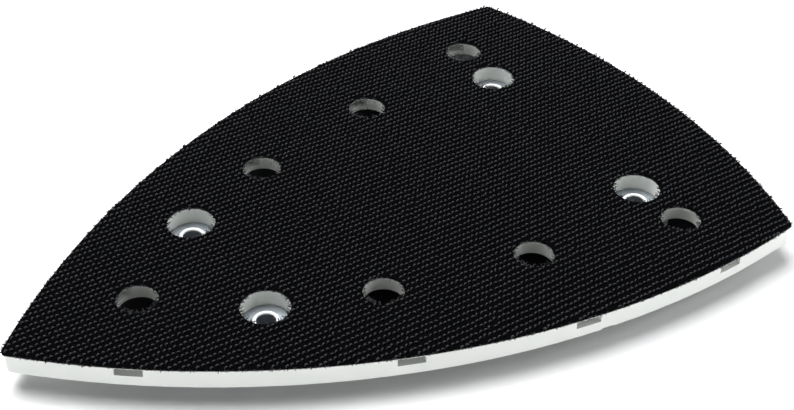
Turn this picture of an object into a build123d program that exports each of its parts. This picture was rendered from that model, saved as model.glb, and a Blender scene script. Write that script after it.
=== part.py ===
from build123d import *
import os
from math import sqrt

# Sanding pad of a detail sander: a moulded plastic base plate that is screwed to the
# machine by four screws, with a hook sheet glued to its working face.
# Millimetres. X runs along the pad, tip at -X, Y across it, +Z out of the hook face.
# The origin is under the middle of the pad, in the plane of the four screw bosses.

# ---------------------------------------------------------------- driving dimensions
pad_length = 153.6          # tip to the crown of the rear edge
half_width = 52.25          # at the widest place
widest_x = 45.5             # where the pad is widest
rear_side_radius = 167.5    # long edge, rear stretch
front_side_radius = 176.4   # long edge, front stretch, tangent to the rear one
side_join_x = -11.4         # where the two stretches of a long edge meet
rear_edge_radius = 149.6
tip_radius = 1.2
corner_radius = 1.0

boss_height = 5.2           # screw bosses, from their seats on the machine to the web
web_thickness = 2.6         # the flat plate itself
rim_height = 4.25           # outer wall of the plate, from the glued face down
rim_thickness = 1.8
sheet_overhang = 0.25       # the hook sheet reaches this far past the plate
film_thickness = 0.15       # adhesive under the hook sheet
backing_thickness = 0.35    # woven ground of the hook sheet
hook_height = 0.5           # hooks above the ground

tip_dust_x = -50.4          # dust hole on the centre line
paired_dust = [(-10.9, 23.0), (19.4, 29.8), (50.7, 37.1)]
dust_radius = 4.0
screw_pairs = [(-31.6, 14.8), (50.0, 24.6)]
seat_radius = 4.8           # counterbore for the screw head
seat_depth = 3.25           # from the top of the web down to the sleeve's flange
boss_radius = 7.2
sleeve_radius = 3.2         # shank of a sleeve, pressed into its boss
flange_radius = 4.65
flange_thickness = 0.6
collar_radius = 2.6         # raised collar round the bore, the screw head bears on it
collar_height = 0.5
collar_rounding = 0.3
collar_root = 0.15
bore_radius = 1.9           # clearance for a 3.5 mm screw
sleeve_chamfer = 0.25

groove_width = 5.2          # bleed groove from each dust hole to the nearest long edge
groove_depth_out = 1.8      # at the edge of the pad
groove_depth_in = 1.6       # at the dust hole
groove_overrun = 4.0        # cut past the edge
tip_groove_out = (-59.5, 15.0)
paired_groove_out = [(-16.1, 40.1), (17.0, 49.6), (50.3, 52.1)]

wall_inset = 7.0            # dust chamber wall, in from the edge of the pad
wall_thickness = 1.6
wall_height = 4.2
rib_thickness = 1.4
rib_height = 2.8
cross_rib_x = [-21.5, 4.2, 34.4, 60.0]
spine_start_x = -45.0
spine_end_x = 68.0
edge_fillet = 0.45          # lower outer edge of the plate
root_fillet = 0.6           # where a boss meets the web
gate_x = 21.3               # moulding gate recess under one long edge
gate_y = -50.0
gate_width = 2.6
gate_height = 0.55
gate_reach = 1.6

# ---------------------------------------------------------------- derived values
rear_x = pad_length / 2
web_bottom = boss_height
web_top = web_bottom + web_thickness
rim_bottom = web_top - rim_height
film_top = web_top + film_thickness
backing_top = film_top + backing_thickness
flange_top = web_top - seat_depth
flange_bottom = flange_top - flange_thickness
collar_top = flange_top + collar_height
dust_centres = [(tip_dust_x, 0.0)] + paired_dust + [(x, -y) for x, y in paired_dust]
screw_centres = screw_pairs + [(x, -y) for x, y in screw_pairs]


def height_on(centre, radius, x):
    """Upper point of a circle at a given x."""
    return Vector(x, centre.Y + sqrt(radius**2 - (x - centre.X) ** 2))


def upper_crossing(centre_a, radius_a, centre_b, radius_b):
    """Upper point where two circles cross."""
    span = centre_b - centre_a
    gap = span.length
    along = (radius_a**2 - radius_b**2 + gap**2) / (2 * gap)
    aside = sqrt(radius_a**2 - along**2)
    foot = centre_a + span * (along / gap)
    step = Vector(-span.Y, span.X) * (aside / gap)
    return max(foot + step, foot - step, key=lambda point: point.Y)


def pad_outline(inset=0.0):
    """The pad's outline, symmetric about X, with every arc drawn inset closer to its centre."""
    rear_side_centre = Vector(widest_x, half_width - rear_side_radius)
    outward = (height_on(rear_side_centre, rear_side_radius, side_join_x) - rear_side_centre).normalized()
    front_side_centre = rear_side_centre + outward * (rear_side_radius - front_side_radius)
    rear_centre = Vector(rear_x - rear_edge_radius, 0)
    side_join = rear_side_centre + outward * (rear_side_radius - inset)
    widest = rear_side_centre + Vector(0, rear_side_radius - inset)
    front_radius = front_side_radius - inset
    rear_corner = upper_crossing(
        rear_side_centre, rear_side_radius - inset, rear_centre, rear_edge_radius - inset
    )
    tip_x = front_side_centre.X - sqrt(front_radius**2 - front_side_centre.Y**2)
    front_middle = height_on(front_side_centre, front_radius, (tip_x + side_join.X) / 2)
    with BuildSketch() as outline:
        with BuildLine():
            ThreePointArc(rear_corner, widest, side_join)
            ThreePointArc(side_join, front_middle, (tip_x, 0))
            mirror(about=Plane.XZ)
            ThreePointArc(rear_corner, (rear_x - inset, 0), (rear_corner.X, -rear_corner.Y))
        make_face()
        fillet(outline.vertices().sort_by(Axis.X)[0], tip_radius)
        fillet(outline.vertices().group_by(Axis.X)[-1], corner_radius)
    return outline.sketch


def groove_profile(hole, edge_point):
    """Side view of a groove that falls from its dust hole and runs out past the edge."""
    start = Vector(hole[0], hole[1], web_top)
    run = Vector(edge_point[0], edge_point[1], web_top) - start
    upright = Plane(origin=start, x_dir=run, z_dir=run.cross(Vector(0, 0, 1)))
    length = run.length
    slope = (groove_depth_in - groove_depth_out) / length
    with BuildSketch(upright) as profile:
        with BuildLine():
            Polyline(
                (0, 0),
                (0, -groove_depth_in),
                (length + groove_overrun, -groove_depth_out + slope * groove_overrun),
                (length + groove_overrun, 0),
                close=True,
            )
        make_face()
    return profile.sketch


def sheet_outline(height):
    """The pad's outline with all eleven holes, at a given height."""
    with BuildSketch(Plane.XY.offset(height)) as layer:
        add(pad_outline())
        with Locations(*dust_centres):
            Circle(dust_radius, mode=Mode.SUBTRACT)
        with Locations(*screw_centres):
            Circle(seat_radius, mode=Mode.SUBTRACT)
    return layer.sketch


# ---------------------------------------------------------------- base plate
with BuildPart() as base_plate:
    # a shallow tray: the web with its rim turned down
    with BuildSketch(Plane.XY.offset(rim_bottom)):
        add(pad_outline(sheet_overhang))
    extrude(amount=rim_height)
    fillet(base_plate.edges().group_by(Axis.Z)[0], edge_fillet)
    with BuildSketch(Plane.XY.offset(web_bottom)):
        add(pad_outline(sheet_overhang + rim_thickness))
    extrude(amount=-rim_height, mode=Mode.SUBTRACT)

    # screw bosses, standing on the machine
    with BuildSketch(Plane.XY):
        with Locations(*screw_centres):
            Circle(boss_radius)
    extrude(amount=web_bottom)
    boss_roots = base_plate.edges().filter_by(GeomType.CIRCLE).filter_by(
        lambda edge: abs(edge.radius - boss_radius) < 0.01 and abs(edge.center().Z - web_bottom) < 0.01
    )
    fillet(boss_roots, root_fillet)

    # wall of the dust chamber
    with BuildSketch(Plane.XY.offset(web_bottom)):
        add(pad_outline(wall_inset))
        add(pad_outline(wall_inset + wall_thickness), mode=Mode.SUBTRACT)
    extrude(amount=-wall_height)

    # stiffening ribs inside the chamber, low enough for air to pass over them
    with BuildSketch(Plane.XY.offset(web_bottom)):
        with Locations(((spine_start_x + spine_end_x) / 2, 0)):
            Rectangle(spine_end_x - spine_start_x, rib_thickness)
        for x in cross_rib_x:
            with Locations((x, 0)):
                Rectangle(rib_thickness, 2 * half_width)
        for x, y in screw_pairs:
            with Locations((x, 0)):
                Rectangle(rib_thickness, 2 * y)
        add(pad_outline(wall_inset + wall_thickness / 2), mode=Mode.INTERSECT)
    extrude(amount=-rib_height)

    # holes
    with Locations(*[(x, y, web_top) for x, y in dust_centres]):
        Hole(radius=dust_radius, depth=web_top)
    with Locations(*[(x, y, web_top) for x, y in screw_centres]):
        CounterBoreHole(
            radius=sleeve_radius,
            counter_bore_radius=seat_radius,
            counter_bore_depth=seat_depth + flange_thickness,
            depth=web_top,
        )

    # bleed grooves, open towards the hook sheet that covers them
    grooves = []
    for side in (1, -1):
        grooves.append(groove_profile((tip_dust_x, 0), (tip_groove_out[0], side * tip_groove_out[1])))
        for hole, out in zip(paired_dust, paired_groove_out):
            grooves.append(groove_profile((hole[0], side * hole[1]), (out[0], side * out[1])))
    for profile in grooves:
        extrude(profile, amount=groove_width / 2, both=True, mode=Mode.SUBTRACT)

    # gate recess
    with Locations((gate_x, gate_y, rim_bottom)):
        Box(gate_width, gate_reach, 2 * gate_height, mode=Mode.SUBTRACT)

# ---------------------------------------------------------------- hook sheet and its glue
with BuildPart() as adhesive_film:
    extrude(sheet_outline(web_top), amount=film_thickness)

with BuildPart() as hook_backing:
    extrude(sheet_outline(film_top), amount=backing_thickness)

with BuildPart() as hook_field:
    extrude(sheet_outline(backing_top), amount=hook_height)

# ---------------------------------------------------------------- screw sleeves
sleeve_names = ["front_left", "rear_left", "front_right", "rear_right"]
sleeves = []
for place, (x, y) in zip(sleeve_names, screw_centres):
    with BuildPart() as screw_sleeve:
        with BuildSketch(Plane((x, y, 0))):
            Circle(sleeve_radius)
        extrude(amount=flange_bottom)
        with BuildSketch(Plane((x, y, flange_bottom))):
            Circle(flange_radius)
        extrude(amount=flange_thickness)
        with BuildSketch(Plane((x, y, flange_top))):
            Circle(collar_radius)
        extrude(amount=collar_height)
        with Locations((x, y, collar_top)):
            Hole(radius=bore_radius, depth=collar_top)
        chamfer(screw_sleeve.edges().group_by(Axis.Z)[0], sleeve_chamfer)
        fillet(screw_sleeve.edges().group_by(Axis.Z)[-1], collar_rounding)
        collar_foot = screw_sleeve.edges().filter_by(GeomType.CIRCLE).filter_by(
            lambda edge: abs(edge.radius - collar_radius) < 0.01 and abs(edge.center().Z - flange_top) < 0.01
        )
        fillet(collar_foot, collar_root)
    screw_sleeve.part.label = "screw_sleeve_" + place
    sleeves.append(screw_sleeve.part)

# ---------------------------------------------------------------- files
base_plate.part.label = "base_plate"
adhesive_film.part.label = "adhesive_film"
hook_backing.part.label = "hook_backing"
hook_field.part.label = "hook_field"

os.makedirs("parts", exist_ok=True)
export_step(base_plate.part, "parts/base_plate.step")
export_step(adhesive_film.part, "parts/adhesive_film.step")
export_step(hook_backing.part, "parts/hook_backing.step")
export_step(hook_field.part, "parts/hook_field.step")
for sleeve in sleeves:
    export_step(sleeve, f"parts/{sleeve.label}.step")
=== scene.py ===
from math import cos, pi, radians, sin

import bmesh
import bpy
import numpy as np
from mathutils import Matrix, Vector
from mathutils.bvhtree import BVHTree
from mathutils.geometry import convex_hull_2d


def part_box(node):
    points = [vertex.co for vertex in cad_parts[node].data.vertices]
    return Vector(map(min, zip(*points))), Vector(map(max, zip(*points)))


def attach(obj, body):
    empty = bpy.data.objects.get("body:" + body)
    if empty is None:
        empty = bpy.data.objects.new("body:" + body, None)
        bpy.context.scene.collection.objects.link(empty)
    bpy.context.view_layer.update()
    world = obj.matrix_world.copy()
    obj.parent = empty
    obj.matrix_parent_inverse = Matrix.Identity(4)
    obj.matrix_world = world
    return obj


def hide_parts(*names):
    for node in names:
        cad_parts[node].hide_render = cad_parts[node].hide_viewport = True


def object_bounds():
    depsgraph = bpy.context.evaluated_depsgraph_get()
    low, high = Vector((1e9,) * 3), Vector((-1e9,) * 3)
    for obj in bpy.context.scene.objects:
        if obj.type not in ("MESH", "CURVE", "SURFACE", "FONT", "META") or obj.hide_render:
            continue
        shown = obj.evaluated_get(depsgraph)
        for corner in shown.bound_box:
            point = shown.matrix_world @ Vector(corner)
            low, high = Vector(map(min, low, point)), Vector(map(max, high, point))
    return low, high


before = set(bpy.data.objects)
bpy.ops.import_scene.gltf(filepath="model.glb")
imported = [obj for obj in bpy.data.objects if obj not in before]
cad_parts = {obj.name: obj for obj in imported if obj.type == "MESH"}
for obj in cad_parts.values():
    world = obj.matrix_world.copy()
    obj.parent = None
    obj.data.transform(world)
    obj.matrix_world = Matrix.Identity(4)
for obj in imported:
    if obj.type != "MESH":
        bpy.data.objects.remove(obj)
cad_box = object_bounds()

# Looks of a detail sander's sanding pad, in metres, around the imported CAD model.
MM = 0.001
SEED = 7

# ---------------------------------------------------------------- hook sheet
ROW_PITCH = 1.36 * MM         # between rows of hooks, across the pad
HOOK_PITCH = 1.03 * MM        # between hooks in a row, along the pad
ROW_TURN = -0.8               # degrees, the rows of hooks aren't quite along the pad
SPARE_PLACES = 3              # rows and columns past the sheet, because the grid is turned
EDGE_CLEARANCE = 0.06 * MM    # of a hook's place from the cut edge, before its random shift
GROUND_TOLERANCE = 0.1 * MM   # a ray that lands this far below the ground has missed it
HOOK_GROUPS = 5               # the hook field is split along the pad into this many pieces

# centre line of one hook, in millimetres: towards +X and up from the ground
CROOK = [
    (0.00, -0.04),
    (0.00, 0.12),
    (0.03, 0.25),
    (0.13, 0.35),
    (0.27, 0.37),
    (0.39, 0.31),
    (0.46, 0.19),
]
FILAMENT_RADIUS = 0.165 * MM
FILAMENT_SIDES = 6
FILAMENT_TAPER = 0.85         # radius at the free end, against the foot
YAW_SPREAD = 14               # degrees, how unevenly the hooks point along their row
LEAN_SPREAD = 0.13            # along the row, per unit of height
SWAY_SPREAD = 0.12            # across the row, per unit of height
HEIGHT_SPREAD = 0.05
HEIGHT_LIMITS = (0.85, 1.05)
SHIFT_SPREAD = 0.05 * MM
HOOK_TOP_MARGIN = 0.005 * MM  # hooks end this far below the top of the CAD slab

# ---------------------------------------------------------------- frayed edges
FRAY_SPACING = 0.3 * MM       # between loose fibre ends along a cut edge
HOLE_FRAY = 1.0 * MM          # longest loose end over a hole
OUTLINE_FRAY = 0.55 * MM      # longest one along the outline
SHORTEST_FRAY = 0.4           # against the longest
FRAY_RADIUS = 0.085 * MM
FRAY_TAPER = 0.7
FRAY_ROOT = 0.1 * MM          # how far a fibre starts inside the sheet
FRAY_DEPTH = 0.25 * MM        # fibres start down to this far below the top of the ground
FRAY_SPLAY = 0.6              # sideways, per unit outwards
HOLE_RISE = (0.0, 1.2)        # upwards, per unit outwards
OUTLINE_RISE = (-0.5, 0.6)
FRAY_TOP_MARGIN = 0.05 * MM
WIDEST_HOLE = 12 * MM         # a ray this long crosses every hole
PROBE_OUT = 0.05 * MM         # that ray starts this far off the edge
PROBE_DOWN = 0.1 * MM         # and this far below the top of the ground
MERGE_DISTANCE = 0.001 * MM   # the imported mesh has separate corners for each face
TRIANGLE = [(1, 0), (-0.5, 0.87), (-0.5, -0.87)]   # section of a fibre
FIBRE_FACES = [(0, 1, 4, 3), (1, 2, 5, 4), (2, 0, 3, 5), (2, 1, 0), (3, 4, 5)]

# ---------------------------------------------------------------- sleeves
COLLAR_START = 0.5 * MM       # below the top of a sleeve, the dull flange ends and the collar's painted highlight begins
COLLAR_FULL = 0.35 * MM       # below the top, the collar's painted highlight is full

# ---------------------------------------------------------------- camera and stage
CAMERA_AZIMUTH = -124.17      # degrees from +X, where the camera stands
CAMERA_ELEVATION = 37.94
CAMERA_ROLL = -0.76
CAMERA_DISTANCE = 293.5 * MM
CAMERA_LENS = 66.4            # millimetres, on the sensor width below
SENSOR_WIDTH = 36
CLIP_START = 10 * MM
TARGET_AHEAD = 5.3 * MM       # the camera looks at this point of the hook face
TARGET_ASIDE = -3.2 * MM

SURROUND_TOP = 10             # degrees above the horizon up to which the surround is white
SURROUND_FADE = 6             # degrees over which it gives way to the dim upper room
SURROUND_LIGHT = 2.1
SURROUND_COLOUR = (0.96, 0.975, 1.0, 1)
SKY_LIGHT = 0.1
OVERHEAD = dict(place=(-0.02, 0.27, 0.75), aim=(0, 0, 0), size=0.62, power=12.5)
SIDE = dict(place=(0.34, -0.22, 0.26), aim=(0.03, 0, 0), size=0.22, power=0.6)

TABLE_REACH = 1.5             # from the middle of the table to its edge
TABLE_GAP = 0.02 * MM         # from the pad's feet to the painted-shade card, and from that card to the table
SHADE_CARD_SHARE = 0.87             # the painted-shade card's size against the pad's outline
SHADE_CARD_CENTRE = 20 * MM         # it shrinks towards this point of the pad's centre line

hook_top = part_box("hook_field")[1].z
sheet_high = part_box("hook_backing")[1]
ground_top = sheet_high.z
sleeve_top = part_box("screw_sleeve_front_left")[1].z
table_top = cad_box[0][2] - 2 * TABLE_GAP
# height of the dark card that paints the shade under the pad
shade_card_top = cad_box[0][2] - TABLE_GAP


# ---------------------------------------------------------------- helpers
def add_object(name, data):
    obj = bpy.data.objects.new(name, data)
    bpy.context.scene.collection.objects.link(obj)
    return obj


def add_mesh(name, points, faces):
    mesh = bpy.data.meshes.new(name)
    mesh.from_pydata(points, [], faces)
    mesh.update()
    return add_object(name, mesh)


def dress(obj, material):
    obj.data.materials.clear()
    obj.data.materials.append(material)


class Nodes:
    """Short names for making a material's nodes."""

    def __init__(self, name):
        self.material = bpy.data.materials.new(name)
        self.material.use_nodes = True
        self.tree = self.material.node_tree
        self.tree.nodes.clear()
        self.output = self.tree.nodes.new("ShaderNodeOutputMaterial")
        self.place = self.tree.nodes.new("ShaderNodeTexCoord").outputs["Object"]

    def set(self, socket, value):
        if isinstance(value, bpy.types.NodeSocket):
            self.tree.links.new(value, socket)
        else:
            socket.default_value = value

    def math(self, operation, a, b=0.0):
        node = self.tree.nodes.new("ShaderNodeMath")
        node.operation = operation
        self.set(node.inputs[0], a)
        self.set(node.inputs[1], b)
        return node.outputs[0]

    def weighted(self, a, share_a, b, share_b):
        return self.math("ADD", self.math("MULTIPLY", a, share_a), self.math("MULTIPLY", b, share_b))

    def axis(self, name):
        node = self.tree.nodes.new("ShaderNodeSeparateXYZ")
        self.set(node.inputs[0], self.place)
        return node.outputs[name]

    def noise(self, size, detail=3.0, roughness=0.55, stretch=(1, 1, 1)):
        """Noise from 0 to 1 whose lumps are about size metres across."""
        mapping = self.tree.nodes.new("ShaderNodeMapping")
        self.set(mapping.inputs["Vector"], self.place)
        mapping.inputs["Scale"].default_value = [s / size for s in stretch]
        node = self.tree.nodes.new("ShaderNodeTexNoise")
        self.set(node.inputs["Vector"], mapping.outputs[0])
        node.inputs["Scale"].default_value = 1.0
        node.inputs["Detail"].default_value = detail
        node.inputs["Roughness"].default_value = roughness
        return node.outputs["Fac"]

    def ramp(self, value, low, high, start=0.0, end=1.0):
        """A linear step of value from start to end, mapped to low and high."""
        node = self.tree.nodes.new("ShaderNodeMapRange")
        self.set(node.inputs["Value"], value)
        node.inputs["From Min"].default_value = start
        node.inputs["From Max"].default_value = end
        node.inputs["To Min"].default_value = low
        node.inputs["To Max"].default_value = high
        return node.outputs[0]

    def colours(self, value, first, second):
        """A mix of two colours, each given as red, green and blue or as a socket."""
        node = self.tree.nodes.new("ShaderNodeMix")
        node.data_type = "RGBA"
        self.set(node.inputs["Factor"], value)
        for key, colour in (("A", first), ("B", second)):
            plain = not isinstance(colour, bpy.types.NodeSocket)
            self.set(node.inputs[key], (*colour, 1) if plain else colour)
        return node.outputs["Result"]

    def bump(self, height, distance, strength):
        node = self.tree.nodes.new("ShaderNodeBump")
        node.inputs["Strength"].default_value = strength
        node.inputs["Distance"].default_value = distance
        self.set(node.inputs["Height"], height)
        return node.outputs[0]

    def principled(self, **values):
        shader = self.tree.nodes.new("ShaderNodeBsdfPrincipled")
        for key, value in values.items():
            self.set(shader.inputs[key.replace("_", " ")], value)
        self.tree.links.new(shader.outputs[0], self.output.inputs["Surface"])
        return self.material


# ---------------------------------------------------------------- materials
def white_plastic():
    n = Nodes("white_nylon")
    cloud = n.noise(size=9 * MM, detail=2.0)
    grain = n.noise(size=0.35 * MM, detail=3.0, roughness=0.6)
    scratch = n.noise(size=0.5 * MM, detail=2.0, roughness=0.5, stretch=(0.06, 1.0, 1.0))
    tone = n.ramp(cloud, 0.0, 1.0, start=0.3, end=0.7)
    return n.principled(
        Base_Color=n.colours(tone, (0.76, 0.78, 0.745), (0.80, 0.815, 0.78)),
        Roughness=n.ramp(n.weighted(grain, 0.6, scratch, 0.4), 0.34, 0.5),
        Normal=n.bump(grain, distance=0.02 * MM, strength=0.35),
    )


def pale_film():
    n = Nodes("adhesive_film")
    cloud = n.noise(size=0.6 * MM, detail=3.0)
    return n.principled(
        Base_Color=n.colours(cloud, (0.50, 0.51, 0.48), (0.66, 0.67, 0.64)),
        Roughness=n.ramp(cloud, 0.35, 0.55),
    )


def woven_ground():
    """Black plain weave: warp cords along the rows of hooks, weft across them."""
    n = Nodes("woven_ground")
    along = n.math("MULTIPLY", n.axis("X"), 2 * pi / HOOK_PITCH)
    across = n.math("MULTIPLY", n.axis("Y"), 2 * pi / ROW_PITCH)
    weft = n.math("ABSOLUTE", n.math("SINE", along))
    cord = n.math("ABSOLUTE", n.math("SINE", across))
    weave = n.math("MULTIPLY", weft, cord)
    lint = n.noise(size=0.25 * MM, detail=4.0, roughness=0.65)
    # lighter on the cords' crowns and darker in the gaps between them: painted shade in the weave
    tone = n.ramp(weave, 0.0, 1.0, start=0.1, end=0.9)
    return n.principled(
        Base_Color=n.colours(tone, (0.0008, 0.0008, 0.001), (0.0024, 0.0025, 0.003)),
        Roughness=n.ramp(lint, 0.6, 0.9),
        Specular_IOR_Level=0.01,
        Normal=n.bump(n.weighted(weave, 1.0, lint, 0.35), distance=0.14 * MM, strength=0.9),
    )


def hook_nylon():
    n = Nodes("hook_nylon")
    patch = n.noise(size=6 * MM, detail=2.0)
    speck = n.noise(size=0.4 * MM, detail=2.0)
    tone = n.ramp(n.weighted(patch, 0.4, speck, 0.6), 0.0, 1.0, start=0.35, end=0.65)
    return n.principled(
        Base_Color=n.colours(tone, (0.015, 0.0156, 0.018), (0.026, 0.0266, 0.0305)),
        Roughness=n.ramp(speck, 0.48, 0.66, start=0.3, end=0.7),
        Specular_IOR_Level=0.31,
    )


def zinc_steel():
    """Dull zinc on the flange and the shank; the raised collar is painted brighter and less metallic,
    a painted highlight.
    """
    n = Nodes("zinc_steel")
    cloud = n.noise(size=1.2 * MM, detail=3.0)
    turned = n.noise(size=0.12 * MM, detail=2.0, roughness=0.5, stretch=(0.15, 0.15, 1.0))
    # painted highlight: a ramp up the sleeve that turns the collar bright and less metallic
    painted_collar_highlight = n.ramp(n.axis("Z"), 0.0, 1.0, start=sleeve_top - COLLAR_START, end=sleeve_top - COLLAR_FULL)
    dull = n.colours(cloud, (0.27, 0.30, 0.33), (0.36, 0.39, 0.42))
    return n.principled(
        Base_Color=n.colours(painted_collar_highlight, dull, (0.86, 0.87, 0.87)),
        Metallic=n.ramp(painted_collar_highlight, 0.9, 0.25),
        Roughness=n.ramp(n.weighted(turned, 0.5, painted_collar_highlight, 1.0), 0.45, 0.75, start=0.0, end=1.5),
        Normal=n.bump(turned, distance=0.003 * MM, strength=0.2),
    )


def white_table():
    n = Nodes("white_table")
    cloud = n.noise(size=60 * MM, detail=2.0)
    return n.principled(
        Base_Color=n.colours(cloud, (0.77, 0.77, 0.78), (0.79, 0.79, 0.795)), Roughness=0.55
    )


def painted_shade_paper():
    # near-black card colour: painted shade for the shadowed table under the pad
    n = Nodes("painted_shade_card")
    cloud = n.noise(size=3 * MM, detail=3.0)
    return n.principled(
        Base_Color=n.colours(cloud, (0.035, 0.036, 0.04), (0.07, 0.072, 0.08)),
        Roughness=0.9,
        Specular_IOR_Level=0.1,
    )


# ---------------------------------------------------------------- hook field
def tube(path, radius, sides, taper):
    """Points and faces of a tube along a path in the XZ plane, closed at both ends."""
    points, faces = [], []
    count = len(path)
    side = Vector((0, 1, 0))
    for i, (x, z) in enumerate(path):
        x0, z0 = path[max(i - 1, 0)]
        x1, z1 = path[min(i + 1, count - 1)]
        ahead = Vector((x1 - x0, 0, z1 - z0)).normalized()
        out = side.cross(ahead)
        r = radius * (1 + (taper - 1) * i / (count - 1))
        for k in range(sides):
            turn = 2 * pi * k / sides
            points.append(Vector((x, 0, z)) + side * (r * cos(turn)) + out * (r * sin(turn)))
    for i in range(count - 1):
        for k in range(sides):
            a, b = i * sides + k, i * sides + (k + 1) % sides
            faces.append((a, b, b + sides, a + sides))
    faces.append(tuple(range(sides - 1, -1, -1)))
    faces.append(tuple(range((count - 1) * sides, count * sides)))
    return points, faces


def hook_shape():
    """One hook: a leg that rises from the ground and bends over towards +X."""
    path = [(x * MM, z * MM) for x, z in CROOK]
    return tube(path, FILAMENT_RADIUS, FILAMENT_SIDES, FILAMENT_TAPER)


def sheet_tree():
    """The woven ground, ready for ray casts."""
    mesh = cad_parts["hook_backing"].data
    corners = [v.co.copy() for v in mesh.vertices]
    return BVHTree.FromPolygons(corners, [tuple(p.vertices) for p in mesh.polygons])


def sheet_tester():
    """A test for points that have woven ground under them and all round them."""
    tree = sheet_tree()
    ring = [(0, 0)] + [(cos(a * pi / 4), sin(a * pi / 4)) for a in range(8)]

    def inside(x, y):
        for dx, dy in ring:
            start = Vector((x + dx * EDGE_CLEARANCE, y + dy * EDGE_CLEARANCE, ground_top + MM))
            hit = tree.ray_cast(start, Vector((0, 0, -1)), 2 * MM)[0]
            if hit is None or hit.z < ground_top - GROUND_TOLERANCE:
                return False
        return True

    return inside


def hook_places():
    """Where the hooks stand: on a slightly turned grid, wherever there is ground."""
    inside = sheet_tester()
    c, s = cos(radians(ROW_TURN)), sin(radians(ROW_TURN))
    rows = int(sheet_high.y / ROW_PITCH) + SPARE_PLACES
    columns = int(sheet_high.x / HOOK_PITCH) + SPARE_PLACES
    places = []
    for row in range(-rows, rows + 1):
        for column in range(-columns, columns + 1):
            x, y = column * HOOK_PITCH, row * ROW_PITCH
            place = (x * c - y * s, x * s + y * c)
            if inside(*place):
                places.append(place)
    return np.array(places)


def hook_mesh(name, places, shape, rng):
    """Hooks at the given places in one mesh, each turned, leant and scaled a little."""
    points, faces = shape
    base = np.array(points)
    count, size = len(places), len(base)
    yaw = rng.normal(0.0, radians(YAW_SPREAD), count)
    lean = rng.normal(0.0, LEAN_SPREAD, count)
    tall = np.clip(rng.normal(1.0, HEIGHT_SPREAD, count), *HEIGHT_LIMITS)
    shift = rng.normal(0.0, SHIFT_SPREAD, (count, 2))
    sway = rng.normal(0.0, SWAY_SPREAD, count)
    x = base[None, :, 0] + lean[:, None] * base[None, :, 2]
    y = base[None, :, 1] + sway[:, None] * base[None, :, 2]
    z = base[None, :, 2] * tall[:, None]
    c, s = np.cos(yaw)[:, None], np.sin(yaw)[:, None]
    foot = (places + shift)[:, :, None]
    world = np.stack((x * c - y * s + foot[:, 0], x * s + y * c + foot[:, 1], z + ground_top), axis=2)
    world = world.reshape(-1, 3)
    world[:, 2] = np.minimum(world[:, 2], hook_top - HOOK_TOP_MARGIN)
    all_faces = [tuple(i + k * size for i in face) for k in range(count) for face in faces]
    piece = add_mesh(name, world.tolist(), all_faces)
    piece.data.polygons.foreach_set("use_smooth", [True] * len(piece.data.polygons))
    return piece


def make_hooks(rng):
    material = hook_nylon()
    shape = hook_shape()
    places = hook_places()
    order = np.argsort(places[:, 0], kind="stable")
    for index, part in enumerate(np.array_split(places[order], HOOK_GROUPS)):
        piece = hook_mesh(f"hooks_{index + 1}", part, shape, rng)
        dress(piece, material)
        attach(piece, "root")
        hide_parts("hook_field")


# ---------------------------------------------------------------- frayed edges
def cut_edges():
    """Every edge of the ground's upper face, with the direction that points off the sheet."""
    bm = bmesh.new()
    bm.from_mesh(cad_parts["hook_backing"].data)
    bmesh.ops.remove_doubles(bm, verts=bm.verts, dist=MERGE_DISTANCE)
    bm.normal_update()
    cuts = []
    for edge in bm.edges:
        top = [f for f in edge.link_faces if f.normal.z > 0.9]
        side = [f for f in edge.link_faces if abs(f.normal.z) < 0.1]
        if top and side:
            cuts.append((edge.verts[0].co.copy(), edge.verts[1].co.copy(), side[0].normal.copy()))
    bm.free()
    return cuts


def fibre_points(root, tip, aim):
    """Corners of a three-sided fibre from root to tip."""
    across = aim.cross(Vector((0, 0, 1))).normalized() * FRAY_RADIUS
    over = across.cross(aim)
    ends = ((root, 1.0), (tip, FRAY_TAPER))
    return [end + across * (u * r) + over * (v * r) for end, r in ends for u, v in TRIANGLE]


def make_fray(rng):
    """Short loose fibre ends that stick out of the cut edges of the ground."""
    points, faces = [], []
    tree = sheet_tree()
    for a, b, out in cut_edges():
        probe = (a + b) / 2 + out * PROBE_OUT - Vector((0, 0, PROBE_DOWN))
        over_hole = tree.ray_cast(probe, out, WIDEST_HOLE)[0] is not None
        longest = HOLE_FRAY if over_hole else OUTLINE_FRAY
        rises = HOLE_RISE if over_hole else OUTLINE_RISE
        for _ in range(rng.poisson((b - a).length / FRAY_SPACING)):
            foot = a.lerp(b, rng.random())
            foot.z -= rng.uniform(0.0, FRAY_DEPTH)
            along = (b - a).normalized() * rng.normal(0.0, FRAY_SPLAY)
            aim = (out + along + Vector((0, 0, rng.uniform(*rises)))).normalized()
            tip = foot + aim * (longest * rng.uniform(SHORTEST_FRAY, 1.0))
            tip.z = min(tip.z, hook_top - FRAY_TOP_MARGIN)
            start = len(points)
            points += fibre_points(foot - aim * FRAY_ROOT, tip, aim)
            faces += [tuple(start + i for i in f) for f in FIBRE_FACES]
    piece = add_mesh("frayed_fibres", points, faces)
    dress(piece, hook_nylon())
    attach(piece, "root")


# ---------------------------------------------------------------- stage
def make_table():
    r = TABLE_REACH
    table = add_mesh("table", [(-r, -r, 0), (r, -r, 0), (r, r, 0), (-r, r, 0)], [(0, 1, 2, 3)])
    table.location.z = table_top
    dress(table, white_table())


def make_painted_shade_card():
    """A dark card of painted shade under the pad, in place of the shade beneath it. It shows through
    the dust holes, and below the rim in low views.
    """
    outline = [v.co.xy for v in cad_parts["hook_backing"].data.vertices]
    hull = [outline[i] for i in convex_hull_2d(outline)]
    points = [(SHADE_CARD_CENTRE + (p.x - SHADE_CARD_CENTRE) * SHADE_CARD_SHARE, p.y * SHADE_CARD_SHARE, 0) for p in hull]
    card = add_mesh("painted_shade_card", points, [tuple(range(len(points)))])
    card.location.z = shade_card_top
    dress(card, painted_shade_paper())


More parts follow.
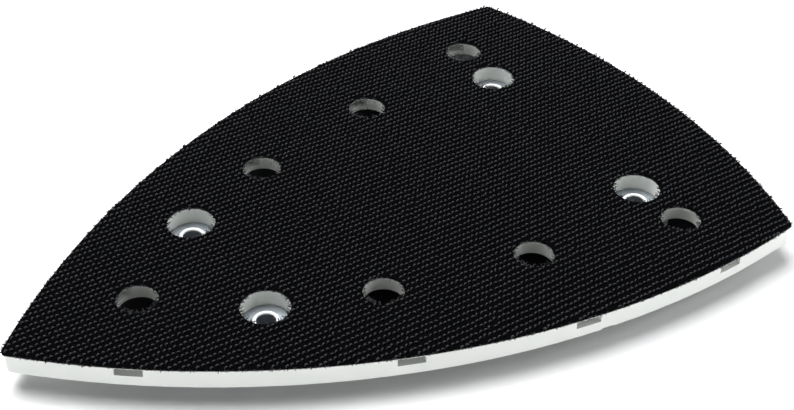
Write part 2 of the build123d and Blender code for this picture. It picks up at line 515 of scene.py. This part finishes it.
def soft_light(name, place, aim, size, power):
    data = bpy.data.lights.new(name, "AREA")
    data.shape = "SQUARE"
    data.size = size
    data.energy = power
    light = add_object(name, data)
    light.location = place
    light.rotation_euler = (Vector(aim) - Vector(place)).to_track_quat("-Z", "Y").to_euler()


def make_surround():
    """A white surround near the horizon and below it, under a dim upper room."""
    world = bpy.data.worlds.new("studio")
    world.use_nodes = True
    tree = world.node_tree
    split = tree.nodes.new("ShaderNodeSeparateXYZ")
    tree.links.new(tree.nodes.new("ShaderNodeTexCoord").outputs["Generated"], split.inputs[0])
    glow = tree.nodes.new("ShaderNodeMapRange")
    tree.links.new(split.outputs["Z"], glow.inputs["Value"])
    glow.inputs["From Min"].default_value = sin(radians(SURROUND_TOP))
    glow.inputs["From Max"].default_value = sin(radians(SURROUND_TOP + SURROUND_FADE))
    glow.inputs["To Min"].default_value = SURROUND_LIGHT
    glow.inputs["To Max"].default_value = SKY_LIGHT
    background = tree.nodes["Background"]
    background.inputs["Color"].default_value = SURROUND_COLOUR
    tree.links.new(glow.outputs[0], background.inputs["Strength"])
    bpy.context.scene.world = world


def make_camera():
    azimuth, elevation = radians(CAMERA_AZIMUTH), radians(CAMERA_ELEVATION)
    target = Vector((TARGET_AHEAD, TARGET_ASIDE, hook_top))
    away = Vector((cos(elevation) * cos(azimuth), cos(elevation) * sin(azimuth), sin(elevation)))
    data = bpy.data.cameras.new("camera")
    data.lens = CAMERA_LENS
    data.sensor_width = SENSOR_WIDTH
    data.clip_start = CLIP_START
    camera = add_object("camera", data)
    level = (-away).to_track_quat("-Z", "Y").to_matrix()
    roll = Matrix.Rotation(radians(-CAMERA_ROLL), 3, "Z")
    camera.matrix_world = Matrix.Translation(target + away * CAMERA_DISTANCE) @ (level @ roll).to_4x4()
    bpy.context.scene.camera = camera


# ---------------------------------------------------------------- the object
make_camera()
rng = np.random.default_rng(SEED)
make_hooks(rng)
make_fray(rng)
dress(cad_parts["base_plate"], white_plastic())
dress(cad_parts["adhesive_film"], pale_film())
dress(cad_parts["hook_backing"], woven_ground())
steel = zinc_steel()
for name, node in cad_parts.items():
    if name.startswith("screw_sleeve"):
        dress(node, steel)

make_table()
make_painted_shade_card()
make_surround()
soft_light("overhead", **OVERHEAD)
soft_light("side", **SIDE)
bpy.context.scene.view_settings.view_transform = "Standard"
